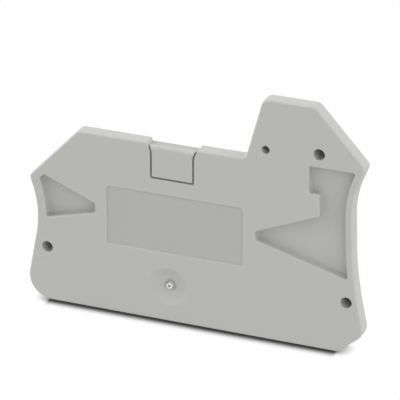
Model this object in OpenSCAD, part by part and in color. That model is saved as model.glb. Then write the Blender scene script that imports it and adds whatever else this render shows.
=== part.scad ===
// End cover for a row of rail-mounted push-in terminal blocks.
// One thin moulded plate: it stands on its straight lower edge with its show face towards -Y.
// Hollow studs on the back press into the last block of the row.

/* [Plate] */
// Overall height, to the top of the raised end
plate_h = 38.7; // [38:0.1:44]
// Thickness of the plate
plate_t = 2.2; // [2:0.1:3]
// Height of the level shoulder beside the raised end
shoulder_h = 28.85; // [28:0.05:30]
// Rounding of the front edge all round the plate
edge_r = 0.3; // [0.1:0.05:0.5]

/* [Lower edge] */
// Reach of the lower left corner from the middle, before rounding
left_base = 27.5; // [26.5:0.1:29]
// Radius of the lower left corner
left_base_r = 3.7; // [2:0.1:5]
// Reach of the lower edge's right end, where the slanted corner starts
right_base = 22.95; // [20:0.1:24]
// Radius at that right end
right_base_r = 0.4; // [0.4:0.1:2]
// Reach of the slanted corner's upper end, before rounding
right_corner = 26.95; // [26.5:0.05:28]
// Height of the slanted corner's upper end, before rounding
right_corner_h = 3.3; // [2:0.1:5]
// Radius at the slanted corner's upper end
right_corner_r = 2; // [1:0.1:3]

/* [Left side] */
// Reach of the left tip from the middle
left_tip = 26.4; // [25.5:0.05:28]
// Height of the left tip
left_tip_h = 20.3; // [19.5:0.1:22]
// Reach of the waist in the left side
left_waist = 24.7; // [24:0.05:25.2]
// Height of the left waist
left_waist_h = 15; // [14:0.1:16.5]
// Radius of the left waist
left_waist_r = 16; // [10:0.5:18]
// Reach of the shoulder's left end
shoulder_left = 18.3; // [16:0.1:20]
// Radius at the shoulder's left end
shoulder_r = 1.3; // [0.6:0.1:3]

/* [Right side] */
// Reach of the right tip from the middle
right_tip = 26.75; // [26:0.05:28]
// Height of the right tip
right_tip_h = 30.2; // [29.8:0.1:32]
// Radius of both side tips
tip_r = 1; // [0.6:0.05:1.5]
// Reach of the waist below the right tip
right_waist = 24.75; // [24.3:0.05:25.2]
// Height of the right waist
right_waist_h = 25.2; // [24:0.1:26.5]
// Radius of the right waist
right_waist_r = 15; // [8:0.5:18]
// Reach of the bend in the long lower part of the right side
right_bend = 25.05; // [24.8:0.05:25.6]
// Height of that bend
right_bend_h = 12.7; // [11:0.1:14]
// Radius of that bend
right_bend_r = 60; // [30:1:70]

/* [Raised end] */
// Distance of the raised end's top left corner from the middle
raised_left = 10.9; // [10:0.05:12]
// Distance of the raised end's top right corner from the middle
raised_right = 18.95; // [17:0.05:20]
// Radius of the raised end's top corners
raised_r = 1.2; // [0.6:0.1:2.5]
// Distance of the foot of the raised end from the middle
foot_x = 8.2; // [7:0.1:9]
// Radius in the inner corner at that foot
foot_r = 1.1; // [0.8:0.1:2]

/* [Pockets] */
// Depth of the left pocket below the front face
wedge_depth = 1.15; // [0.6:0.05:1.7]
// Depth of the right pocket below the front face
flag_depth = 1.15; // [0.6:0.05:1.7]
// Width of the rim between a pocket and the plate's edge
rim_w = 1.1; // [0.8:0.05:1.6]
// Corner radius in the pockets
pocket_r = 0.35; // [0.2:0.05:0.5]
// Reach of the left pocket's narrow end from the middle
wedge_end = 15.7; // [15:0.1:18]
// Lower height of that narrow end
wedge_end_low = 15.8; // [15:0.1:16]
// Upper height of that narrow end
wedge_end_high = 17.4; // [17.2:0.1:18]
// Height of the left pocket's lower edge where it would meet the left tip
wedge_low = 13.05; // [12:0.05:14]
// Height of the left pocket's upper edge where it would meet the left tip
wedge_high = 21.85; // [21:0.05:22.5]
// Height of the right pocket's level top edge
flag_top = 29.3; // [28.5:0.1:29.4]
// Distance of the right pocket's upper left side from the middle
flag_left = 18; // [17:0.05:18.5]
// Height of the step below that side
flag_step_h = 24.9; // [24:0.1:26]
// Distance of the right pocket's neck from the middle
flag_neck = 19.7; // [19:0.05:21]
// Height at which the neck opens into the pocket's long wedge
flag_neck_h = 21.45; // [20.5:0.05:22.5]
// Distance of the long wedge's blunt tip from the middle
flag_tip = 9.65; // [9:0.05:12]
// Lower height of that blunt tip
flag_tip_low = 15.9; // [15:0.1:16.2]
// Upper height of that blunt tip
flag_tip_high = 17.3; // [17:0.1:18]
// Height of the long wedge's lower edge where it would meet the right tip
flag_low = 11.2; // [10.5:0.1:12.5]

/* [Label recess] */
// Reach of the recess's left end from the middle
label_left = 13.9; // [12:0.1:14.5]
// Length of the recess
label_w = 21.75; // [18:0.05:22.2]
// Height of the recess's lower edge
label_h0 = 11.4; // [10.5:0.1:12]
// Height of the recess itself
label_h = 9.4; // [7:0.1:10]
// Corner radius of the recess
label_r = 0.5; // [0.2:0.1:1.5]
// Depth of the recess
label_depth = 0.2; // [0.1:0.05:0.4]

/* [Break-out tab] */
// Reach of the slot's left side from the middle
slot_left = 6.8; // [5:0.05:8]
// Width of the slot that the tab closes
slot_w = 7; // [6:0.1:8]
// Depth of the slot below the shoulder
slot_depth = 5.7; // [4:0.05:6.5]
// Width of the groove around the tab
slot_gap = 0.3; // [0.25:0.01:0.6]
// Depth of that groove; the web behind it holds the tab
groove_depth = 0.65; // [0.3:0.05:1.2]
// Radius of the slot's lower corners
slot_r = 0.3; // [0.3:0.05:1]
// How far each side of the slot's mouth flares out
flare_w = 0.55; // [0.3:0.05:1]
// Height of the flared mouth
flare_h = 1.45; // [1:0.05:2]
// How far the ridge along the tab's top lies below the shoulder
tab_drop = 0.25; // [0.1:0.05:0.6]
// Rounding of the tab's front top edge, up to the ridge
tab_edge_r = 0.6; // [0.2:0.05:0.8]
// How far the tab's top falls from the ridge to the back
tab_fall = 0.35; // [0.1:0.05:0.5]

/* [Studs and sockets] */
// Length of the studs behind the plate
stud_len = 1.5; // [1.2:0.1:3]
// Diameter of the three large studs
stud_d = 2.4; // [2.3:0.05:3]
// Diameter of the sockets in the large studs
socket_d = 1.75; // [1.4:0.05:1.9]
// Diameter of the small stud
small_stud_d = 1.9; // [1.8:0.05:2.4]
// Diameter of the socket in the small stud
small_socket_d = 1.25; // [0.9:0.05:1.4]
// Lead-in at the studs' free ends
stud_lead = 0.3; // [0.1:0.05:0.4]
// Closed end left in each stud
stud_end_t = 0.6; // [0.5:0.05:1.4]
// Distance of the left stud from the lower left corner
left_stud_in = 3.85; // [3.5:0.05:5.5]
// Height of the left stud
left_stud_h = 8.85; // [8:0.05:10]
// Distance of the right stud from the slanted corner's upper end
right_stud_in = 2.8; // [2.6:0.05:5]
// Height of the right stud
right_stud_h = 8.3; // [7:0.05:9]
// Distance of the top stud to the right of the raised end's right corner
top_stud_out = 0.65; // [-1:0.05:1]
// Depth of the top stud below the raised end's top
top_stud_down = 7.35; // [6:0.05:7.4]
// Distance of the small stud to the right of the raised end's foot
small_stud_in = 3.15; // [2.8:0.05:5]
// Height of the small stud above the shoulder
small_stud_up = 1.9; // [1.2:0.05:4]

/* [Gate mark] */
// Distance of the gate to the left of the middle
gate_left = 3.9; // [1:0.1:8]
// Height of the gate
gate_h = 5.75; // [4:0.05:6.5]
// Diameter of the shallow dish around the gate
dish_d = 6; // [4:0.1:7]
// Depth of the dish
dish_depth = 0.45; // [0.2:0.05:0.5]
// Diameter of the cone-shaped well in the dish, carried on up to the front face
well_d = 3.9; // [2.5:0.1:3.9]
// Depth of the well's foot below the front face
well_depth = 0.8; // [0.55:0.05:0.9]
// Diameter of the round nub that the gate leaves in the well
nub_d = 0.95; // [0.8:0.05:1.6]
// How far the nub's top lies below the front face
nub_sink = 0.25; // [0:0.05:0.35]
// Diameter of the dimple in the nub
dimple_d = 0.5; // [0.3:0.05:0.6]
// Depth of the dimple
dimple_depth = 0.3; // [0.1:0.05:0.4]

/* [Hidden] */
$fn = 64;
// Smallest turn and longest step along a rounded corner
arc_turn = 5;
arc_step = 0.9;
// Flats that make up a rounded edge
edge_flats = 4;
// Spare length by which a cutter passes a surface, and by which joined pieces overlap
spare = 0.4;
// Share of a straight edge that the roundings at its two ends may use together
edge_share = 0.96;
// Least length to divide by
tiny = 0.001;
// Bevel on the rim of the gate's nub, and the flat ring around its foot
nub_bevel = 0.12;
nub_ring = 0.05;
// Sides of a full circle in the pockets' corners
soft_sides = 32;
// Rings that make up the dish and its well
dish_rings = 16;

front_y = -(plate_t + stud_len) / 2;
back_y = front_y + plate_t;
tab_ridge = shoulder_h - tab_drop;
slot_mid = slot_w / 2 - slot_left;
slot_floor = shoulder_h - slot_depth;
flare_foot = shoulder_h - flare_h;

// Corners of the plate, anticlockwise from the lower left: distance, height and radius
outline = [
    [-left_base, 0, left_base_r],
    [right_base, 0, right_base_r],
    [right_corner, right_corner_h, right_corner_r],
    [right_bend, right_bend_h, right_bend_r],
    [right_waist, right_waist_h, right_waist_r],
    [right_tip, right_tip_h, tip_r],
    [raised_right, plate_h, raised_r],
    [raised_left, plate_h, raised_r],
    [foot_x, shoulder_h, foot_r],
    [-shoulder_left, shoulder_h, shoulder_r],
    [-left_tip, left_tip_h, tip_r],
    [-left_waist, left_waist_h, left_waist_r]
];

// Corners of the wedge-shaped left pocket, carried on past the rim that trims it
wedge = [
    [-left_tip, wedge_low],
    [-wedge_end, wedge_end_low],
    [-wedge_end, wedge_end_high],
    [-left_tip, wedge_high]
];

// Corners of the flag-shaped right pocket, carried on past the rim that trims it
flag = [
    [right_tip, flag_low],
    [right_tip, flag_top],
    [flag_left, flag_top],
    [flag_left, flag_step_h],
    [flag_neck, flag_step_h],
    [flag_neck, flag_neck_h],
    [flag_tip, flag_tip_high],
    [flag_tip, flag_tip_low]
];

// Corners of the label recess
label = [
    [-label_left, label_h0, label_r],
    [label_w - label_left, label_h0, label_r],
    [label_w - label_left, label_h0 + label_h, label_r],
    [-label_left, label_h0 + label_h, label_r]
];

// Place, stud diameter and socket diameter of each stud
studs = [
    [[-left_base + left_stud_in, left_stud_h], stud_d, socket_d],
    [[right_corner - right_stud_in, right_stud_h], stud_d, socket_d],
    [[raised_right + top_stud_out, plate_h - top_stud_down], stud_d, socket_d],
    [[foot_x + small_stud_in, shoulder_h + small_stud_up], small_stud_d, small_socket_d]
];

function flat(p) = [p[0], p[1]];
function unit(v) = v / norm(v);
function ahead(c, i) = flat(c[(i + 1) % len(c)]) - flat(c[i]);
function behind(c, i) = flat(c[(i + len(c) - 1) % len(c)]) - flat(c[i]);
function half_angle(c, i) = acos(unit(ahead(c, i)) * unit(behind(c, i))) / 2;
function is_convex(c, i) = cross(ahead(c, i), behind(c, i)) > 0;

// Straight length that corner i's rounding takes from each edge beside it
function wanted(c, i) = c[i % len(c)][2] / tan(half_angle(c, i % len(c)));
function room(c, i) = edge_share * norm(ahead(c, i)) / max(wanted(c, i) + wanted(c, i + 1), tiny);

// Radius of corner i, limited by its two edges
function corner_r(c, i) = c[i][2] * min(1, room(c, i), room(c, (i + len(c) - 1) % len(c)));

// Angle from a to b the short way round
function short_turn(a, b) = (b - a + 540) % 360 - 180;
function heading(v) = atan2(v[1], v[0]);

// Points of corner i, moved inwards by inset
function corner_points(c, i, inset) =
    c[i][2] == 0 ? [flat(c[i])] : let (
        r = corner_r(c, i),
        h = half_angle(c, i),
        a = unit(behind(c, i)),
        b = unit(ahead(c, i)),
        centre = flat(c[i]) + unit(a + b) * r / sin(h),
        first = heading(flat(c[i]) + a * r / tan(h) - centre),
        last = heading(flat(c[i]) + b * r / tan(h) - centre),
        turn = short_turn(first, last),
        steps = max(1, ceil(abs(turn) / arc_turn), ceil(r * abs(turn) * PI / 180 / arc_step)),
        reach = is_convex(c, i) ? r - inset : r + inset
    )
    [for (k = [0:steps]) centre + reach * [cos(first + turn * k / steps), sin(first + turn * k / steps)]];

// Closed loop of points around corners given as distance, height and radius
function rounded(c, inset = 0) = [for (i = [0:len(c) - 1]) each corner_points(c, i, inset)];

// Inset and depth of each point on a rounded edge
function edge_levels(r) =
    [for (k = [0:edge_flats]) [r * (1 - sin(90 * k / edge_flats)), r * (1 - cos(90 * k / edge_flats))]];

// Corners of the slot, or of the tab when it is inset by the groove, up to a given height
function slot_corners(inset, top, r) =
    let (
        half = slot_w / 2 - inset,
        mouth = half + flare_w * (top - flare_foot) / flare_h
    )
    [
        [slot_mid - half, slot_floor + inset, r],
        [slot_mid + half, slot_floor + inset, r],
        [slot_mid + half, flare_foot, r],
        [slot_mid + mouth, top, 0],
        [slot_mid - mouth, top, 0],
        [slot_mid - half, flare_foot, r]
    ];

// Stands a flat shape upright between two depths
module upright(from_y, to_y) {
    translate([0, to_y, 0]) rotate([90, 0, 0]) linear_extrude(to_y - from_y) children();
}

// Points the up axis of a turned piece out of the plate's back, at a place on the plate
module on_back(place) {
    translate([place[0], back_y, place[1]]) rotate([-90, 0, 0]) children();
}

// Cutter that rounds the front edge all round the plate
module edge_cutter() {
    levels = concat(edge_levels(edge_r), [[-spare, -spare]]);
    loops = [for (l = levels) [for (p = rounded(outline, l[0])) [p[0], front_y + l[1], p[1]]]];
    count = len(loops[0]);
    rows = len(loops);
    polyhedron(
        points = [for (loop = loops) each loop],
        faces = [for (k = [0:rows - 1]) for (i = [0:count - 1]) [
            k * count + i,
            (k + 1) % rows * count + i,
            (k + 1) % rows * count + (i + 1) % count,
            k * count + (i + 1) % count
        ]]
    );
}

// Flat plate with its rounded front edge and the open slot for the tab
module plate() {
    difference() {
        upright(front_y, back_y) polygon(rounded(outline));
        edge_cutter();
        upright(front_y - spare, back_y + spare)
            polygon(rounded(slot_corners(0, shoulder_h + spare, slot_r)));
    }
}

// Cutter that shapes the tab's top: a rounded front edge, a ridge and a slope to the back
module tab_top_cutter() {
    behind_back = plate_t + spare;
    fall = tab_fall * (behind_back - tab_edge_r) / (plate_t - tab_edge_r);
    translate([slot_mid - slot_w, front_y, tab_ridge])
        rotate([90, 0, 90])
            linear_extrude(2 * slot_w)
                polygon(concat(
                    [for (l = edge_levels(tab_edge_r)) [l[1], -l[0]]],
                    [[behind_back, -fall], [behind_back, 2 * spare]],
                    [[-spare, 2 * spare], [-spare, -tab_edge_r]]
                ));
}

// Tab that fills the slot, joined to the plate by the web behind the groove
module break_out_tab() {
    top = tab_ridge + spare;
    difference() {
        union() {
            upright(front_y, back_y) polygon(rounded(slot_corners(slot_gap, top, max(slot_r - slot_gap, 0))));
            upright(front_y + groove_depth, back_y) polygon(rounded(slot_corners(-spare, top, slot_r)));
        }
        tab_top_cutter();
    }
}

// Rounds both the inner and the outer corners of a flat shape
module soften(r) {
    offset(r = r, $fn = soft_sides) offset(r = -2 * r, $fn = soft_sides) offset(r = r, $fn = soft_sides)
        children();
}

// Pocket with rounded corners, kept inside the rim
module pocket(corners, depth) {
    upright(front_y - spare, front_y + depth)
        soften(pocket_r)
            intersection() {
                polygon(corners);
                polygon(rounded(outline, rim_w));
            }
}

// Stud with a lead-in at its free end
module stud(d) {
    rotate_extrude()
        polygon([
            [0, -plate_t / 2],
            [d / 2, -plate_t / 2],
            [d / 2, stud_len - stud_lead],
            [d / 2 - stud_lead, stud_len],
            [0, stud_len]
        ]);
}

// Blind socket that cores a stud out from the front face
module socket(d) {
    translate([0, 0, -plate_t - spare])
        cylinder(h = plate_t + spare + stud_len - stud_end_t, d = d);
}

// Depth of the round dish, and of the well in it, at a distance from the gate
function dish_sink(r) =
    let (ball_r = (dish_d * dish_d / 4 + dish_depth * dish_depth) / (2 * dish_depth))
    sqrt(ball_r * ball_r - r * r) - ball_r + dish_depth;
function well_sink(r) = well_depth * (well_d / 2 - r) / (well_d / 2 - nub_d / 2 - nub_ring);

// Shallow dish in the front face around the gate, with a cone-shaped well in its middle
module gate_dish() {
    foot_r = nub_d / 2 + nub_ring;
    radii = [for (k = [0:dish_rings]) dish_d / 2 + (foot_r - dish_d / 2) * k / dish_rings];
    translate([-gate_left, front_y, gate_h])
        rotate([-90, 0, 0])
            rotate_extrude()
                polygon(concat(
                    [[0, -spare], [dish_d / 2, -spare]],
                    [for (r = radii) [r, max(dish_sink(r), well_sink(r))]],
                    [[0, well_depth]]
                ));
}

// Dimpled nub that the gate leaves in the well
module gate_nub() {
    foot = well_depth + spare;
    top = foot - nub_sink;
    translate([-gate_left, front_y + foot, gate_h])
        rotate([90, 0, 0])
            rotate_extrude()
                polygon([
                    [0, 0],
                    [nub_d / 2, 0],
                    [nub_d / 2, top - nub_bevel],
                    [nub_d / 2 - nub_bevel, top],
                    [dimple_d / 2, top],
                    [0, top - dimple_depth]
                ]);
}

module end_cover() {
    color([0.71, 0.71, 0.69]) {
        difference() {
            union() {
                plate();
                break_out_tab();
                for (s = studs) on_back(s[0]) stud(s[1]);
            }
            pocket(wedge, wedge_depth);
            pocket(flag, flag_depth);
            upright(front_y - spare, front_y + label_depth) polygon(rounded(label));
            gate_dish();
            for (s = studs) on_back(s[0]) socket(s[2]);
        }
        gate_nub();
    }
}

end_cover();
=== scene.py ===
import math

import bmesh
import bpy
from mathutils import Matrix, Vector
from mathutils.geometry import delaunay_2d_cdt


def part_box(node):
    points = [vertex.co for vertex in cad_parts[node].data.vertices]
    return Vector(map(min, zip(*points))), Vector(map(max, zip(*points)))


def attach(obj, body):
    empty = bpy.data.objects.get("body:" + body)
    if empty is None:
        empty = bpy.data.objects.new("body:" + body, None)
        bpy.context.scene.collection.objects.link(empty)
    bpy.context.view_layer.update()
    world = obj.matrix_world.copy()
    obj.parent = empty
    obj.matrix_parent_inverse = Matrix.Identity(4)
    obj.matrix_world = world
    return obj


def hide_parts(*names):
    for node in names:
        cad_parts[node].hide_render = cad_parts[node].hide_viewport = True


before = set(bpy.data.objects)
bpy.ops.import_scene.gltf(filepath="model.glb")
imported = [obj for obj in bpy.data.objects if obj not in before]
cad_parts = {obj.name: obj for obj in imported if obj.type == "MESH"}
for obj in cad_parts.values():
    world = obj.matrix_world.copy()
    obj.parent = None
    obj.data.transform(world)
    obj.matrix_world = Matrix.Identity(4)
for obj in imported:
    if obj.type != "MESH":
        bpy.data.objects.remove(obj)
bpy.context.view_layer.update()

MM = 0.001
NODE = "end_cover"

# Sizes of the moulding, in millimetres. X runs along the plate, Z up, and depth inwards from the show face.
FRONT_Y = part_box(NODE)[0].y / MM
PLATE_T = 2.2
SHOULDER_H = 28.85
# Corners of the plate, anticlockwise from the lower left: distance, height and radius
OUTLINE = [
    (-27.5, 0, 3.7),
    (22.95, 0, 0.4),
    (26.95, 3.3, 2),
    (25.05, 12.7, 60),
    (24.75, 25.2, 15),
    (26.75, 30.2, 1),
    (18.95, 38.7, 1.2),
    (10.9, 38.7, 1.2),
    (8.2, SHOULDER_H, 1.1),
    (-18.3, SHOULDER_H, 1.3),
    (-26.4, 20.3, 1),
    (-24.7, 15, 16),
]
# Number of the corner where the raised end stands on the shoulder
FOOT_OF_RAISED_END = 8
EDGE_R = 0.3
BACK_EDGE_R = 0.06

# Slot in the shoulder, with a funnel mouth, and the groove that it leaves around the break-out tab
SLOT_MID = -3.3
SLOT_W = 7.0
SLOT_FLOOR = 23.15
SLOT_R = 0.3
FLARE_W = 0.55
FLARE_H = 1.45
FLARE_FOOT = SHOULDER_H - FLARE_H
GROOVE_W = 0.3
GROOVE_DEPTH = 0.65
GROOVE_EDGE_R = 0.09
# Break-out tab with its rounded ridge, and the top of the web behind it, matte and painted darker as shade
# inside a margin
TAB_R = 0.12
TAB_RIDGE = 28.5
TAB_EDGE_R = 0.57
TAB_BACK_R = 0.08
TAB_FACE_TOP = TAB_RIDGE - TAB_EDGE_R - GROOVE_EDGE_R
WEB_TOP = 28.3
WEB_MARGIN = 0.12

# Pockets: the corners of each one's lower and upper side, trimmed by a rim that follows the plate's edge
WEDGE_RIM_W = 1.3
FLAG_RIM_W = 1.0
POCKET_DEPTH = 1.4
POCKET_R = 0.35
POCKET_EDGE_R = 0.3
POCKET_WALL_INSET = 0.1
POCKET_FOOT_R = 0.08
WEDGE_LOW = [(-26.4, 13.05), (-15.7, 15.8)]
WEDGE_HIGH = [(-15.7, 17.4), (-26.4, 21.85)]
FLAG_LOW = [(9.75, 15.87), (26.75, 11.2)]
FLAG_HIGH = [(26.75, 29.3), (18.0, 29.3), (18.0, 24.9), (19.7, 24.9), (19.7, 21.45), (9.75, 17.34)]

# Bare label recess: its corners, each with a radius
LABEL = [(-13.9, 11.3, 0.5), (7.85, 11.3, 0.5), (7.85, 20.7, 0.5), (-13.9, 20.7, 0.5)]
LABEL_DEPTH = 0.2
LABEL_EDGE_R = 0.15
LABEL_FOOT_R = 0.05
LABEL_MATTE = 0.8

# Studs on the back, each cored out from the front: place, stud diameter and socket diameter
STUDS = [
    ((-23.65, 8.85), 2.4, 1.75),
    ((24.15, 8.3), 2.4, 1.75),
    ((19.6, 31.35), 2.4, 1.75),
    ((11.35, 30.75), 1.9, 1.25),
]
STUD_LEN = 1.5
STUD_LEAD = 0.3
STUD_FOOT_R = 0.15
STUD_END_T = 0.6
# Tip of a stud, in shares of its lead-in: how far its edge is drawn in and lies back, and the cap's inset
LEAD_EDGE_IN = 0.93
LEAD_EDGE_BACK = 0.07
LEAD_CAP_IN = 1.2
SOCKET_EDGE_R = 0.12
SOCKET_FOOT_R = 0.1
ROUND_SIDES = 64

# Gate mark: a shallow dish with a cone-shaped well, and a dimpled nub that stands in the well
GATE = (-3.9, 5.75)
DISH_R = 3.3
DISH_FLOOR_R = 1.4
DISH_DEPTH = 0.65
DISH_RINGS = 30
WELL_R = 2.1
WELL_DEPTH = 1.05
WELL_SOFT = 0.06
NUB_R = 0.475
NUB_RING = 0.05
NUB_SINK = 0.25
NUB_BEVEL = 0.12
NUB_FOOT_BLUSH = 0.3
DIMPLE_R = 0.21
DIMPLE_DEPTH = 0.5
# Shares of the dimple's radius and depth at the foot of its lip and at its floor
DIMPLE_STEPS = [(0.9, 0.1), (0.3, 1)]

# Marks on the points: worn edge, smoother and with a painted lighter sheen; matte label floor, and the web's
# top, matte and painted darker as shade; and plastic whitened by the broken gate
FINISH_AND_LIGHT_MARKS = ("wear", "matte", "blush")

# Colours of the grey plastic
GREY_LIGHT = (0.490, 0.495, 0.471, 1)
GREY_DEEP = (0.448, 0.454, 0.428, 1)
# Lighter grey painted on the worn edges as a sheen
GREY_SHEEN = (0.53, 0.53, 0.505, 1)
# Darker grey of the label's matte floor, also painted on the web's top as shade
GREY_MATTE_AND_SHADE = (0.420, 0.425, 0.402, 1)
GREY_BLUSH = (0.74, 0.74, 0.72, 1)
# Numbers of a Mix node's sockets for colours
MIX_SHARE = 0
MIX_A = 6
MIX_B = 7
MIX_RESULT = 2
# Noise in the plastic: scale, detail and roughness
CLOUD_NOISE = (110, 3, 0.5)
SPECK_NOISE = (5200, 2, 0.5)
GRAIN_NOISE = (9000, 3, 0.6)
# Least share of the light grey, and how much clouds, specks, the painted edge sheen and whitening change the
# colour
CLOUD_LEAST = 0.25
CLOUD_SPAN = 0.5
SPECK_SHARE = 0.10
SHEEN_SHARE = 0.35
BLUSH_SHARE = 0.9
# Roughness, what the grain and a matte face add to it, and what polish takes off
ROUGHNESS = 0.60
GRAIN_ROUGHENS = 0.10
POLISH_SMOOTHS = 0.12
MATTE_ROUGHENS = 0.05
# Relief of the grain: its strength, its height, and the share of the specks in it
GRAIN_RELIEF = 0.35
GRAIN_HEIGHT = 0.012
SPECK_RELIEF = 0.5
# Shine of the plastic's surface
PLASTIC_IOR = 1.5
PLASTIC_SPECULAR = 0.4

# Light tent: its even level, and its softboxes by turn to the right of the front, height, focus and strength
TENT_LEVEL = 0.52
SOFTBOXES = [
    (45, 8, 10, 1.89),
    (75, 28, 6, 1.07),
    (135, 35, 6, 1.16),
    (180, 35, 6, 0.24),
    (270, 8, 10, 2.17),
    (270, 28, 6, 2.23),
    (0, 90, 8, 0.12),
]

# White floor: its reach, and its glow on the object
FLOOR_REACH = 4000
FLOOR_GLOW = 0.752
# Contact shadow: its reach, the open share of the floor where it starts and where it is full, and its depth
SHADOW_REACH = 2.35
SHADOW_SAMPLES = 16
SHADOW_LIGHT = 1.02
SHADOW_DARK = 0.58
SHADOW_DEPTH = 0.955
# Ends of the shadow along the lower edge, their fade, and the fainter trace that runs on past them
SHADOW_LEFT = -23.2
SHADOW_RIGHT = 22.5
SHADOW_FADE = 0.7
SHADOW_TRACE = 0.7
SHADOW_TRACE_END = 3.2
SHADOW_TRACE_FOCUS = 3

# Camera: its turn to the right and its height in degrees, its aim on the show face, and its lens
CAMERA_TURN = 21.7
CAMERA_HEIGHT = 25.3
CAMERA_AIM = (1.174, 20.992)
CAMERA_DISTANCE = 499.8
CAMERA_LENS = 306
CAMERA_SENSOR = 36
CAMERA_NEAR = 50
CAMERA_FAR = 20000

# Fineness of the curves: a flat's greatest turn and length, and the flats of a large and a small rounding
ARC_TURN = math.radians(5)
ARC_STEP = 0.45
EDGE_FLATS = 7
SMALL_FLATS = 5
# Share of an edge that the roundings at its two ends may take up
EDGE_SHARE = 0.96
# Turn from which a pocket's corner on the rim is rounded, and the turn up to which faces are shaded as one
SHARP_TURN = math.radians(20)
SMOOTH_LIMIT = math.cos(math.radians(38))
# What counts as nothing in sums and in filling, and the distance in metres at which two points are one
TINY = 1e-6
FILL_MARGIN = 1e-7
WELD = 2e-7


# Flat outlines

def quarter_turn(flats):
    """Angles from zero to a right angle, in even steps."""
    return [math.pi / 2 * k / flats for k in range(flats + 1)]


def headings(corners, i):
    """Place of corner i, and the headings of the edges before and after it."""
    here = Vector(corners[i][:2])
    before = (here - Vector(corners[i - 1][:2])).normalized()
    after = (Vector(corners[(i + 1) % len(corners)][:2]) - here).normalized()
    return here, before, after


def turn_at(corners, i):
    """Angle by which the outline turns left at corner i."""
    _, before, after = headings(corners, i)
    return math.atan2(before.cross(after), before.dot(after))


def inward(heading):
    """Direction to the inside of an anticlockwise outline, from an edge with this heading."""
    return Vector((-heading.y, heading.x))


def fitted(corners):
    """The corners, each radius kept to the room on its two edges."""
    count = len(corners)
    wanted = [corners[i][2] * math.tan(abs(turn_at(corners, i)) / 2) for i in range(count)]
    room = []
    for i in range(count):
        j = (i + 1) % count
        edge = (Vector(corners[j][:2]) - Vector(corners[i][:2])).length
        room.append(EDGE_SHARE * edge / max(wanted[i] + wanted[j], TINY))
    return [(x, z, r * min(1, room[i], room[i - 1])) for i, (x, z, r) in enumerate(corners)]


def corner_steps(corners, i):
    """Number of flats in corner i's arc; none for a sharp corner."""
    r, turn = corners[i][2], abs(turn_at(corners, i))
    return max(2, math.ceil(turn / ARC_TURN), math.ceil(r * turn / ARC_STEP)) if r else 0


def corner_points(corners, i, before_level, after_level):
    """Points (x, z, depth) of corner i; each level is the inset and depth of one of its edges."""
    here, before, after = headings(corners, i)
    turn, r, steps = turn_at(corners, i), corners[i][2], corner_steps(corners, i)
    if not steps:
        side, run = inward(before), before.dot(inward(after))
        slide = 0 if abs(run) < TINY else (after_level[0] - before_level[0] * side.dot(inward(after))) / run
        spot = here + side * before_level[0] + before * slide
        return [(spot.x, spot.y, max(before_level[1], after_level[1]))]
    sign = math.copysign(1, turn)
    centre = here - before * (r * math.tan(abs(turn) / 2)) + inward(before) * (sign * r)
    points = []
    for k in range(steps + 1):
        share = k / steps
        inset, depth = (a + (b - a) * share for a, b in zip(before_level, after_level))
        out = Matrix.Rotation(turn * share, 2) @ (inward(before) * -sign)
        spot = centre + out * (r - sign * inset)
        points.append((spot.x, spot.y, depth))
    return points


def loop(corners, levels):
    """Closed loop of points around the corners; levels gives each edge's inset and depth."""
    return [p for i in range(len(corners)) for p in corner_points(corners, i, levels[i - 1], levels[i])]


def even_loop(corners, inset, depth):
    """Closed loop with the same inset and depth on every edge."""
    return loop(corners, [(inset, depth)] * len(corners))


def circle(centre, radius, depth):
    """Closed round loop."""
    turns = [2 * math.pi * k / ROUND_SIDES for k in range(ROUND_SIDES)]
    return [(centre[0] + radius * math.cos(t), centre[1] + radius * math.sin(t), depth) for t in turns]


def crossing(start, end, path):
    """Where the line from start to end meets a closed path, and the number of the path's next point."""
    a, run = Vector(start), Vector(end) - Vector(start)
    for i in range(len(path)):
        p, q = path[i - 1], path[i]
        side = q - p
        bend = run.cross(side)
        if abs(bend) < TINY:
            continue
        along, across = (p - a).cross(side) / bend, (p - a).cross(run) / bend
        if 0 < along <= 1 and 0 <= across < 1:
            return a + run * along, i
    raise ValueError("the pocket's edge misses the rim")


def rim_between(rim, edge_out, edge_in):
    """Corners of a pocket along the rim, from the edge that runs out to it to the one that runs back."""
    first, i = crossing(edge_out[0], edge_out[1], rim)
    last, j = crossing(edge_in[1], edge_in[0], rim)
    middle = []
    while i != j:
        spot = rim[i]
        if min((spot - first).length, (spot - last).length) > 2 * POCKET_R:
            middle.append(spot)
        i = (i + 1) % len(rim)
    run = [first] + middle + [last]
    corners = []
    for k, spot in enumerate(run):
        inner = 0 < k < len(run) - 1
        turn = (spot - run[k - 1]).angle(run[k + 1] - spot) if inner else math.pi
        corners.append((spot.x, spot.y, POCKET_R if turn > SHARP_TURN else 0))
    return corners


# Building the shell

def inside_only(areas, edges):
    """The triangles inside the rims: crossing a rim's edge goes from outside to inside and back."""
    fence = {frozenset(e) for e in edges}
    beside = {}
    for n, area in enumerate(areas):
        for k in range(3):
            beside.setdefault(frozenset((area[k - 1], area[k])), []).append(n)
    inside = {pair[0]: edge in fence for edge, pair in beside.items() if len(pair) == 1}
    front = list(inside)
    while front:
        n = front.pop()
        for k in range(3):
            edge = frozenset((areas[n][k - 1], areas[n][k]))
            for other in beside[edge]:
                if other not in inside:
                    inside[other] = inside[n] != (edge in fence)
                    front.append(other)
    return [area for n, area in enumerate(areas) if inside[n]]


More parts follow.
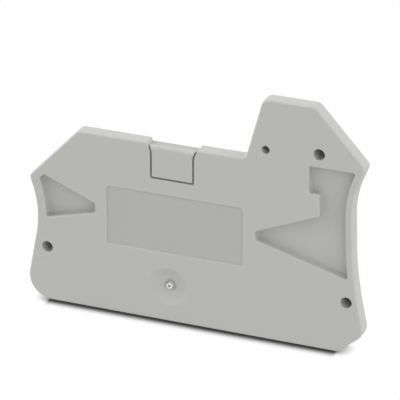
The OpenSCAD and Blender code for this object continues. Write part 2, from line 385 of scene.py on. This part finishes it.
class Shell:
    """Points and faces of the moulding; each point is marked with its share of each kind of finish and of
    painted sheen and shade.
    """

    def __init__(self):
        self.points = []
        self.faces = []
        self.marks = {name: [] for name in FINISH_AND_LIGHT_MARKS}

    def ring(self, points, **marks):
        """Adds points (x, z, depth) and returns their numbers."""
        start = len(self.points)
        for x, z, depth in points:
            self.points.append(Vector((x, FRONT_Y + depth, z)))
            for name, values in self.marks.items():
                values.append(marks.get(name, 0.0))
        return list(range(start, len(self.points)))

    def wall(self, upper, lower, hollow, skip=()):
        """Joins two rings with quads that face the hollow, or the outside of a solid; skips some columns."""
        count = len(upper)
        for i in range(count):
            if i in skip:
                continue
            j = (i + 1) % count
            quad = [upper[i], upper[j], lower[j], lower[i]]
            self.faces.append(quad if hollow else quad[::-1])

    def walls(self, rings, hollow):
        """Joins each ring with the next."""
        for upper, lower in zip(rings, rings[1:]):
            self.wall(upper, lower, hollow)

    def fill(self, rims, back=False):
        """Fills the flat area inside the first rim and outside the others."""
        numbers = [n for rim in rims for n in rim]
        spots = [Vector((self.points[n].x, self.points[n].z)) for n in numbers]
        edges, start = [], 0
        for rim in rims:
            edges += [(start + k, start + (k + 1) % len(rim)) for k in range(len(rim))]
            start += len(rim)
        _, _, areas, sources, _, _ = delaunay_2d_cdt(spots, edges, [], 0, FILL_MARGIN)
        areas = [[sources[v][0] for v in area] for area in areas]
        for area in inside_only(areas, edges):
            corners = [numbers[v] for v in area]
            self.faces.append(corners[::-1] if back else corners)

    def hollow(self, make_loop, edge_r, foot_r, depth, matte=0.0):
        """Sinks a flat-bottomed hollow with an eased rim and a rounded foot; returns its rim."""
        rings = []
        for t in quarter_turn(SMALL_FLATS):
            spots = make_loop(edge_r * (math.sin(t) - 1), edge_r * (1 - math.cos(t)))
            rings.append(self.ring(spots, wear=math.sin(2 * t)))
        for k, t in enumerate(quarter_turn(SMALL_FLATS)):
            spots = make_loop(foot_r * (1 - math.cos(t)), depth - foot_r * (1 - math.sin(t)))
            rings.append(self.ring(spots, matte=matte * k / SMALL_FLATS))
        self.walls(rings, True)
        self.fill([rings[-1]])
        return rings[0]


def slot_side(sign, height, inset=0.0):
    """Point on one side of the slot, up its funnel mouth, or of the tab when inset by the groove."""
    flare = FLARE_W * max(height - FLARE_FOOT, 0) / FLARE_H
    return SLOT_MID + sign * (SLOT_W / 2 - inset + flare), height


def plate_corners():
    """Corners of the plate with the slot cut in its shoulder, and the kind of edge after each."""
    corners = fitted(OUTLINE)
    half = SLOT_W / 2
    slot = [
        (*slot_side(1, SHOULDER_H), 0),
        (*slot_side(1, WEB_TOP), 0),
        (SLOT_MID + half, FLARE_FOOT, SLOT_R),
        (SLOT_MID + half, SLOT_FLOOR, SLOT_R),
        (SLOT_MID - half, SLOT_FLOOR, SLOT_R),
        (SLOT_MID - half, FLARE_FOOT, SLOT_R),
        (*slot_side(-1, WEB_TOP), 0),
        (*slot_side(-1, SHOULDER_H), 0),
    ]
    cut = FOOT_OF_RAISED_END + 1
    kinds = ["edge"] * cut + ["slot"] * (len(slot) - 1) + ["edge"] * (len(corners) - cut + 1)
    return corners[:cut] + slot + corners[cut:], kinds


def tab_corners():
    """Corners of the break-out tab inside its groove, and the kind of edge after each."""
    half = SLOT_W / 2 - GROOVE_W
    corners = [
        (SLOT_MID - half, SLOT_FLOOR + GROOVE_W, TAB_R),
        (SLOT_MID + half, SLOT_FLOOR + GROOVE_W, TAB_R),
        (SLOT_MID + half, FLARE_FOOT, TAB_R),
        (*slot_side(1, TAB_FACE_TOP, GROOVE_W), 0),
        (*slot_side(1, TAB_RIDGE, GROOVE_W), 0),
        (*slot_side(-1, TAB_RIDGE, GROOVE_W), 0),
        (*slot_side(-1, TAB_FACE_TOP, GROOVE_W), 0),
        (SLOT_MID - half, FLARE_FOOT, TAB_R),
    ]
    return corners, ["side"] * 4 + ["top"] + ["side"] * 3


def first_column(corners, i):
    """Number of the loop's first point at corner i."""
    return sum(corner_steps(corners, k) + 1 for k in range(i))


def eased_rings(shell, corners, kinds, radii):
    """Rings of an eased front edge whose radius depends on the kind of edge."""
    rings = []
    for t in quarter_turn(EDGE_FLATS):
        levels = [(radii[kind] * (1 - math.sin(t)), radii[kind] * (1 - math.cos(t))) for kind in kinds]
        rings.append(shell.ring(loop(corners, levels), wear=math.sin(2 * t)))
    return rings


def columns_at(corners, height):
    """Numbers of the loop's right and left points at a height beside the tab's top."""
    return [first_column(corners, i) for i, corner in enumerate(corners) if corner[1] == height]


def add_plate(shell):
    """Adds the plate's edge and the slot down to the web; returns its rings and the slot's two columns."""
    corners, kinds = plate_corners()
    right, left = columns_at(corners, WEB_TOP)
    rings = eased_rings(shell, corners, kinds, {"edge": EDGE_R, "slot": GROOVE_EDGE_R})
    rings.append(shell.ring(even_loop(corners, 0, GROOVE_DEPTH)))
    for t in quarter_turn(SMALL_FLATS):
        inset = BACK_EDGE_R * (1 - math.cos(t))
        depth = PLATE_T - BACK_EDGE_R * (1 - math.sin(t))
        levels = [(inset if kind == "edge" else 0, depth) for kind in kinds]
        rings.append(shell.ring(loop(corners, levels), wear=math.sin(2 * t)))
    webbed = range(right, left)
    for k, (upper, lower) in enumerate(zip(rings, rings[1:])):
        shell.wall(upper, lower, False, webbed if k > EDGE_FLATS else ())
    return rings, right, left


def add_tab(shell):
    """Adds the tab down to the web; returns its foot from the web's top left round to its top right."""
    corners, kinds = tab_corners()
    low_right, low_left = columns_at(corners, TAB_FACE_TOP)
    top_right, top_left = columns_at(corners, TAB_RIDGE)
    rings = eased_rings(shell, corners, kinds, {"side": GROOVE_EDGE_R, "top": TAB_EDGE_R})
    for t in quarter_turn(SMALL_FLATS):
        inset = TAB_BACK_R * (1 - math.cos(t))
        depth = GROOVE_DEPTH - TAB_BACK_R * (1 - math.sin(t))
        spots = loop(corners, [(inset if kind == "top" else 0, depth) for kind in kinds])
        spots[low_right] = (*slot_side(1, WEB_TOP, GROOVE_W), depth)
        spots[low_left] = (*slot_side(-1, WEB_TOP, GROOVE_W), depth)
        rings.append(shell.ring(spots, wear=math.sin(2 * t)))
    shell.walls(rings, False)
    shell.fill([rings[0]])
    foot = rings[-1]
    shell.faces.append([foot[n] for n in (low_left, top_left, top_right, low_right)])
    return foot[low_left:] + foot[:low_right + 1]


def add_web_top(shell, right, left, tab_foot):
    """Adds the web's top, matte and painted darker as shade, between the slot's right side, front to back,
    and its left, back to front.
    """
    front = GROOVE_DEPTH + WEB_MARGIN
    back = PLATE_T - WEB_MARGIN
    spots = [(*slot_side(side, WEB_TOP, WEB_MARGIN), depth)
             for side, depth in ((1, front), (1, back), (-1, back), (-1, front))]
    # The web's top, matte and painted darker as shade inside the margin
    matte = shell.ring(spots, matte=1.0)
    front_right, back_right, back_left, front_left = matte
    shell.faces += [
        matte,
        right + [back_right, front_right],
        [right[-1], left[0], back_left, back_right],
        left + [front_left, back_left],
        [left[-1], tab_foot[0], tab_foot[-1], right[0], front_right, front_left],
    ]


def add_plate_and_tab(shell):
    """Adds the plate, the tab and the web between them; returns the rims of the plate's two faces."""
    plate, right, left = add_plate(shell)
    tab_foot = add_tab(shell)
    behind = plate[EDGE_FLATS + 1:]
    slot_foot = behind[0][right:left + 1]
    shell.fill([slot_foot[::-1] + tab_foot[::-1]])
    add_web_top(shell, [ring[right] for ring in behind], [ring[left] for ring in behind[::-1]], tab_foot)
    back = plate[-1]
    return plate[0], back[:right + 1] + back[left:]


def rim_inside(width):
    """Line at a width inside the plate's edge, with a sharp corner where the edge's radius is no greater."""
    corners = [(x, z, 0 if r <= width else r) for x, z, r in fitted(OUTLINE)]
    return [Vector(p[:2]) for p in even_loop(corners, width, 0)]


def add_pockets(shell):
    """Adds the wedge-shaped and the flag-shaped pocket; returns their rims."""
    wedge = rim_between(rim_inside(WEDGE_RIM_W), WEDGE_HIGH, WEDGE_LOW)
    wedge += [(*spot, POCKET_R) for spot in (WEDGE_LOW[1], WEDGE_HIGH[0])]
    flag = rim_between(rim_inside(FLAG_RIM_W), FLAG_LOW, FLAG_HIGH[:2])
    flag += [(*spot, POCKET_R) for spot in FLAG_HIGH[1:] + FLAG_LOW[:1]]
    return [
        shell.hollow(lambda inset, level, c=corners: even_loop(c, inset + POCKET_WALL_INSET, level),
                     POCKET_EDGE_R, POCKET_FOOT_R, POCKET_DEPTH)
        for corners in (wedge, flag)
    ]


def soft_max(a, b, width):
    """The greater of two values, with the step from one to the other rounded over a width."""
    return (a + b + math.hypot(a - b, width)) / 2


def soft_step(share):
    """A share from 0 to 1 with a soft start and a soft end."""
    return share * share * (3 - 2 * share)


def gate_sink(r):
    """Depth of the gate mark's dish and well at a distance from the gate."""
    flank = max((r - DISH_FLOOR_R) / (DISH_R - DISH_FLOOR_R), 0)
    dish = DISH_DEPTH * (1 - soft_step(flank))
    well = WELL_DEPTH * (WELL_R - r) / (WELL_R - NUB_R - NUB_RING)
    return soft_max(dish, well, WELL_SOFT)


def add_gate_mark(shell):
    """Adds the dish, its well and the dimpled nub; returns the dish's rim."""
    inner = NUB_R + NUB_RING
    rings = [shell.ring(circle(GATE, DISH_R, 0))]
    for k in range(1, DISH_RINGS + 1):
        r = DISH_R + (inner - DISH_R) * k / DISH_RINGS
        rings.append(shell.ring(circle(GATE, r, gate_sink(r))))
    rings.append(shell.ring(circle(GATE, NUB_R, gate_sink(inner) - NUB_RING), blush=NUB_FOOT_BLUSH))
    for t in quarter_turn(SMALL_FLATS):
        r = NUB_R - NUB_BEVEL * (1 - math.cos(t))
        rings.append(shell.ring(circle(GATE, r, NUB_SINK + NUB_BEVEL * (1 - math.sin(t))), blush=1.0))
    rings.append(shell.ring(circle(GATE, DIMPLE_R, NUB_SINK), blush=1.0))
    for width, sink in DIMPLE_STEPS:
        rings.append(shell.ring(circle(GATE, DIMPLE_R * width, NUB_SINK + DIMPLE_DEPTH * sink)))
    shell.walls(rings, True)
    shell.fill([rings[-1]])
    return rings[0]


def add_sockets(shell):
    """Adds the blind sockets that core the studs out; returns their rims."""
    depth = PLATE_T + STUD_LEN - STUD_END_T
    return [
        shell.hollow(lambda inset, level, c=place, r=bore / 2: circle(c, r - inset, level),
                     SOCKET_EDGE_R, SOCKET_FOOT_R, depth)
        for place, _, bore in STUDS
    ]


def moulding_mesh():
    """Mesh of the plate with all that is sunk in its front, open where the studs stand on its back."""
    shell = Shell()
    front_rim, back_rim = add_plate_and_tab(shell)
    sunk = add_pockets(shell)
    sunk.append(shell.hollow(lambda inset, depth: even_loop(LABEL, inset, depth),
                             LABEL_EDGE_R, LABEL_FOOT_R, LABEL_DEPTH, matte=LABEL_MATTE))
    sunk.append(add_gate_mark(shell))
    sunk += add_sockets(shell)
    shell.fill([front_rim] + sunk)
    feet = [shell.ring(circle(place, d / 2 + STUD_FOOT_R, PLATE_T)) for place, d, _ in STUDS]
    shell.fill([back_rim] + feet, back=True)
    mesh = bpy.data.meshes.new("moulding")
    mesh.from_pydata([p * MM for p in shell.points], [], shell.faces)
    for name, values in shell.marks.items():
        mesh.attributes.new(name, "FLOAT", "POINT").data.foreach_set("value", values)
    return mesh


# Node trees

class Wire:
    """An output socket that takes part in sums; every sum adds a Math node."""

    def __init__(self, bench, socket):
        self.bench, self.socket = bench, socket

    def sum(self, operation, a, b):
        """Wire from a new Math node."""
        return self.bench.add("ShaderNodeMath", {"operation": operation}, {0: a, 1: b})[0]

    def __add__(self, other):
        return self.sum("ADD", self, other)

    def __radd__(self, other):
        return self.sum("ADD", other, self)

    def __sub__(self, other):
        return self.sum("SUBTRACT", self, other)

    def __rsub__(self, other):
        return self.sum("SUBTRACT", other, self)

    def __mul__(self, other):
        return self.sum("MULTIPLY", self, other)

    def __rmul__(self, other):
        return self.sum("MULTIPLY", other, self)

    def __pow__(self, other):
        return self.sum("POWER", self, other)


class Bench:
    """A node tree under construction."""

    def __init__(self, tree):
        self.tree = tree

    def add(self, kind, settings=None, sockets=None):
        """Adds a node: its settings first, then its sockets' values or links; gives its outputs."""
        node = self.tree.nodes.new(kind)
        for name, value in (settings or {}).items():
            setattr(node, name, value)
        for name, value in (sockets or {}).items():
            if isinstance(value, Wire):
                self.tree.links.new(value.socket, node.inputs[name])
            elif isinstance(value, (list, tuple)) and value and isinstance(value[0], Wire):
                for wire in value:
                    self.tree.links.new(wire.socket, node.inputs[name])
            else:
                node.inputs[name].default_value = value
        return Outputs(self, node)


class Outputs:
    """A node's outputs as wires, by name or number."""

    def __init__(self, bench, node):
        self.bench, self.node = bench, node

    def __getitem__(self, name):
        return Wire(self.bench, self.node.outputs[name])


# Objects in the scene

def new_object(name, data):
    """New object at the origin, linked to the scene."""
    thing = bpy.data.objects.new(name, data)
    bpy.context.scene.collection.objects.link(thing)
    return thing


def direction(turn, height):
    """Direction by its turn from the front to the right and its height, in degrees."""
    turn, height = math.radians(turn), math.radians(height)
    return Vector((math.sin(turn) * math.cos(height), -math.cos(turn) * math.cos(height), math.sin(height)))


# Studs on the back

def stud_tree(finish):
    """Geometry Nodes tree that stands a stud with a rounded foot and a lead-in on every point."""
    tree = bpy.data.node_groups.new("press_in_studs", "GeometryNodeTree")
    face = tree.interface
    face.new_socket("Places", in_out="INPUT", socket_type="NodeSocketGeometry")
    for name in ("Radius", "Length", "Lead", "Foot"):
        face.new_socket(name, in_out="INPUT", socket_type="NodeSocketFloat")
    face.new_socket("Studs", in_out="OUTPUT", socket_type="NodeSocketGeometry")
    bench = Bench(tree)
    given = bench.add("NodeGroupInput")
    radius, length, lead, foot = (given[n] for n in ("Radius", "Length", "Lead", "Foot"))

    def frustum(low_r, low_h, high_r, high_h):
        """Open ring of a stud's side, from one radius and height to another."""
        cone = bench.add("GeometryNodeMeshCone", {"fill_type": "NONE"}, {
            "Vertices": ROUND_SIDES, "Radius Bottom": low_r, "Radius Top": high_r, "Depth": high_h - low_h})
        lift = bench.add("ShaderNodeCombineXYZ", None, {"Z": low_h})
        return bench.add("GeometryNodeTransform", None, {
            "Geometry": cone["Mesh"], "Translation": lift["Vector"]})["Geometry"]

    cap_r = radius - lead * LEAD_CAP_IN
    turns = quarter_turn(SMALL_FLATS)
    profile = [(radius + foot * (1 - math.sin(t)), foot * (1 - math.cos(t))) for t in turns]
    profile += [
        (radius, length - lead),
        (radius - lead * LEAD_EDGE_IN, length - lead * LEAD_EDGE_BACK),
        (cap_r, length),
    ]
    body = [frustum(*a, *b) for a, b in zip(profile, profile[1:])]
    cap = bench.add("GeometryNodeMeshCircle", {"fill_type": "NGON"}, {
        "Vertices": ROUND_SIDES, "Radius": cap_r})
    lift = bench.add("ShaderNodeCombineXYZ", None, {"Z": length})
    body.append(bench.add("GeometryNodeTransform", None, {
        "Geometry": cap["Mesh"], "Translation": lift["Vector"]})["Geometry"])
    joined = bench.add("GeometryNodeJoinGeometry", None, {"Geometry": body})
    stud = bench.add("GeometryNodeMergeByDistance", None, {"Geometry": joined["Geometry"], "Distance": WELD})
    stood = bench.add("GeometryNodeInstanceOnPoints", None, {
        "Points": given["Places"], "Instance": stud["Geometry"], "Rotation": (-math.pi / 2, 0, 0)})
    real = bench.add("GeometryNodeRealizeInstances", None, {"Geometry": stood["Instances"]})
    dressed = bench.add("GeometryNodeSetMaterial", None, {"Geometry": real["Geometry"], "Material": finish})
    bench.add("NodeGroupOutput", None, {"Studs": dressed["Geometry"]})
    return tree


def stud_mesh(tree, diameter):
    """Plain mesh of all the studs of one diameter, at their places on the back."""
    places = bpy.data.meshes.new("stud_places")
    back = (FRONT_Y + PLATE_T) * MM
    places.from_pydata([(p[0] * MM, back, p[1] * MM) for p, d, _ in STUDS if d == diameter], [], [])
    holder = new_object("stud_places", places)
    studs = holder.modifiers.new("studs", "NODES")
    studs.node_group = tree
    sizes = {"Radius": diameter / 2, "Length": STUD_LEN, "Lead": STUD_LEAD, "Foot": STUD_FOOT_R}
    for item in tree.interface.items_tree:
        if item.name in sizes:
            studs[item.identifier] = sizes[item.name] * MM
    mesh = bpy.data.meshes.new_from_object(holder.evaluated_get(bpy.context.evaluated_depsgraph_get()))
    holder.modifiers.clear()
    bpy.data.objects.remove(holder)
    return mesh


# Finishes

def new_material(name):
    """Empty node material, and the bench for its nodes."""
    material = bpy.data.materials.new(name)
    material.use_nodes = True
    material.node_tree.nodes.clear()
    return material, Bench(material.node_tree)


def moulded_grey():
    """Matte grey plastic from a finely eroded mould, smoother along its edges, with a lighter sheen painted
    there; the label's floor is matte and darker, and the web's top is painted darker as shade.
    """
    material, bench = new_material("moulded_grey")
    place = bench.add("ShaderNodeTexCoord")["Object"]
    wear = bench.add("ShaderNodeAttribute", {"attribute_name": "wear"})["Fac"]
    matte = bench.add("ShaderNodeAttribute", {"attribute_name": "matte"})["Fac"]
    blush = bench.add("ShaderNodeAttribute", {"attribute_name": "blush"})["Fac"]

    def noise(scale, detail, roughness):
        """Noise fixed to the moulding."""
        return bench.add("ShaderNodeTexNoise", None, {
            "Vector": place, "Scale": scale, "Detail": detail, "Roughness": roughness})["Fac"]

    def blend(share, a, b):
        """Colour a with a share of colour b."""
        return bench.add("ShaderNodeMix", {"data_type": "RGBA"}, {
            MIX_SHARE: share, MIX_A: a, MIX_B: b})[MIX_RESULT]

    cloud = noise(*CLOUD_NOISE)
    speck = noise(*SPECK_NOISE)
    grain = noise(*GRAIN_NOISE)
    colour = blend(CLOUD_LEAST + CLOUD_SPAN * cloud, GREY_DEEP, GREY_LIGHT)
    colour = blend(SPECK_SHARE * speck, colour, GREY_DEEP)
    # Painted sheen: the worn edges drawn lighter
    colour = blend(SHEEN_SHARE * wear * cloud, colour, GREY_SHEEN)
    # The label floor's darker matte tone; on the web's top the same darkening is painted shade
    colour = blend(matte, colour, GREY_MATTE_AND_SHADE)
    colour = blend(BLUSH_SHARE * blush, colour, GREY_BLUSH)
    rough = ROUGHNESS + GRAIN_ROUGHENS * grain - POLISH_SMOOTHS * wear + MATTE_ROUGHENS * matte
    bump = bench.add("ShaderNodeBump", None, {
        "Strength": GRAIN_RELIEF, "Distance": GRAIN_HEIGHT * MM, "Height": grain + SPECK_RELIEF * speck})
    skin = bench.add("ShaderNodeBsdfPrincipled", None, {
        "Base Color": colour, "Roughness": rough, "Normal": bump["Normal"],
        "IOR": PLASTIC_IOR, "Specular IOR Level": PLASTIC_SPECULAR})
    bench.add("ShaderNodeOutputMaterial", None, {"Surface": skin["BSDF"]})
    return material


def seen_plainly(bench):
    """One for rays that meet plain white: from the camera, off a shiny surface or through a clear one."""
    path = bench.add("ShaderNodeLightPath")
    return path["Is Camera Ray"] + path["Is Glossy Ray"] + path["Is Transmission Ray"]


def white_floor():
    """White floor that glows evenly on the object and, seen plainly, shows a painted contact shadow under
    the straight lower edge.
    """
    material, bench = new_material("white_floor")
    place = bench.add("ShaderNodeTexCoord")["Object"]
    along = bench.add("ShaderNodeSeparateXYZ", None, {"Vector": place})["X"]

    def rise(value, start, end):
        """Soft rise from zero to one as the value goes from start to end."""
        return bench.add("ShaderNodeMapRange", {"interpolation_type": "SMOOTHSTEP"}, {
            "Value": value, "From Min": start, "From Max": end})["Result"]

    def between_ends(fade):
        """One along the shadow, with a soft fall to zero past either end."""
        left = rise(along, (SHADOW_LEFT - fade) * MM, SHADOW_LEFT * MM)
        right = rise(along, (SHADOW_RIGHT + fade) * MM, SHADOW_RIGHT * MM)
        return left * right

    open_share = bench.add("ShaderNodeAmbientOcclusion", {"samples": SHADOW_SAMPLES}, {
        "Distance": SHADOW_REACH * MM})["AO"]
    hidden = rise(open_share, SHADOW_LIGHT, SHADOW_DARK)
    full = between_ends(SHADOW_FADE)
    trace = SHADOW_TRACE * between_ends(SHADOW_TRACE_END) * hidden ** SHADOW_TRACE_FOCUS
    # Painted contact shadow, drawn into the floor's own glow
    level = 1 - SHADOW_DEPTH * (hidden * full + trace * (1 - full))
    seen = seen_plainly(bench)
    glow = bench.add("ShaderNodeEmission", None, {
        "Color": FLOOR_GLOW + (level - FLOOR_GLOW) * seen, "Strength": 1.0})
    bench.add("ShaderNodeOutputMaterial", None, {"Surface": glow["Emission"]})
    return material


# The finished piece

def soften_normals(mesh):
    """Gives every face corner the area-weighted mean of the faces that run on smoothly there."""
    around = [[] for _ in mesh.vertices]
    for face in mesh.polygons:
        for n in face.vertices:
            around[n].append(face)
    facing = []
    for face in mesh.polygons:
        for n in face.vertices:
            total = Vector()
            for other in around[n]:
                if other.normal.dot(face.normal) > SMOOTH_LIMIT:
                    total += other.normal * other.area
            facing.append(total.normalized())
    mesh.normals_split_custom_set(facing)


def make_end_cover():
    """The whole moulding as one closed mesh in its grey finish."""
    finish = moulded_grey()
    mesh = moulding_mesh()
    tree = stud_tree(finish)
    bm = bmesh.new()
    bm.from_mesh(mesh)
    for diameter in sorted({d for _, d, _ in STUDS}):
        bm.from_mesh(stud_mesh(tree, diameter))
    bmesh.ops.remove_doubles(bm, verts=bm.verts, dist=WELD)
    bmesh.ops.delete(bm, geom=[v for v in bm.verts if not v.link_faces], context="VERTS")
    for face in bm.faces:
        face.smooth = True
        face.material_index = 0
    bm.to_mesh(mesh)
    bm.free()
    mesh.materials.append(finish)
    soften_normals(mesh)
    return new_object("end_cover_moulding", mesh)


# Floor, light and camera

def make_floor():
    """Large flat floor at the height of the lower edge."""
    mesh = bpy.data.meshes.new("floor")
    reach = FLOOR_REACH * MM
    corners = [(-reach, -reach, 0), (reach, -reach, 0), (reach, reach, 0), (-reach, reach, 0)]
    mesh.from_pydata(corners, [], [(0, 1, 2, 3)])
    mesh.materials.append(white_floor())
    floor = new_object("floor", mesh)


def make_light_tent():
    """Soft white tent all round, with a few large softboxes shining through it."""
    world = bpy.data.worlds.new("light_tent")
    bpy.context.scene.world = world
    world.use_nodes = True
    world.node_tree.nodes.clear()
    bench = Bench(world.node_tree)
    way = bench.add("ShaderNodeTexCoord")["Generated"]
    lit = TENT_LEVEL
    for turn, height, focus, strength in SOFTBOXES:
        axis = direction(turn, height)
        facing = bench.add("ShaderNodeVectorMath", {"operation": "DOT_PRODUCT"}, {0: way, 1: axis})["Value"]
        ahead = bench.add("ShaderNodeMath", {"operation": "MAXIMUM"}, {0: facing, 1: 0.0})["Value"]
        lit = lit + strength * ahead ** focus
    level = lit + (1 - lit) * seen_plainly(bench)
    glow = bench.add("ShaderNodeBackground", None, {"Color": level, "Strength": 1.0})
    bench.add("ShaderNodeOutputWorld", None, {"Surface": glow["Background"]})


def make_camera():
    """Long lens from the upper right, on the show face."""
    data = bpy.data.cameras.new("camera")
    data.sensor_width = CAMERA_SENSOR
    data.lens = CAMERA_LENS
    data.clip_start = CAMERA_NEAR * MM
    data.clip_end = CAMERA_FAR * MM
    camera = new_object("camera", data)
    bpy.context.scene.camera = camera
    along, up = CAMERA_AIM
    aim = Vector((along, FRONT_Y, up)) * MM
    back = direction(CAMERA_TURN, CAMERA_HEIGHT)
    camera.location = aim + back * (CAMERA_DISTANCE * MM)
    camera.rotation_euler = (-back).to_track_quat("-Z", "Y").to_euler()


bpy.context.scene.view_settings.view_transform = "Standard"
make_camera()
make_light_tent()
make_floor()

cover = make_end_cover()
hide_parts(NODE)
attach(cover, "root")
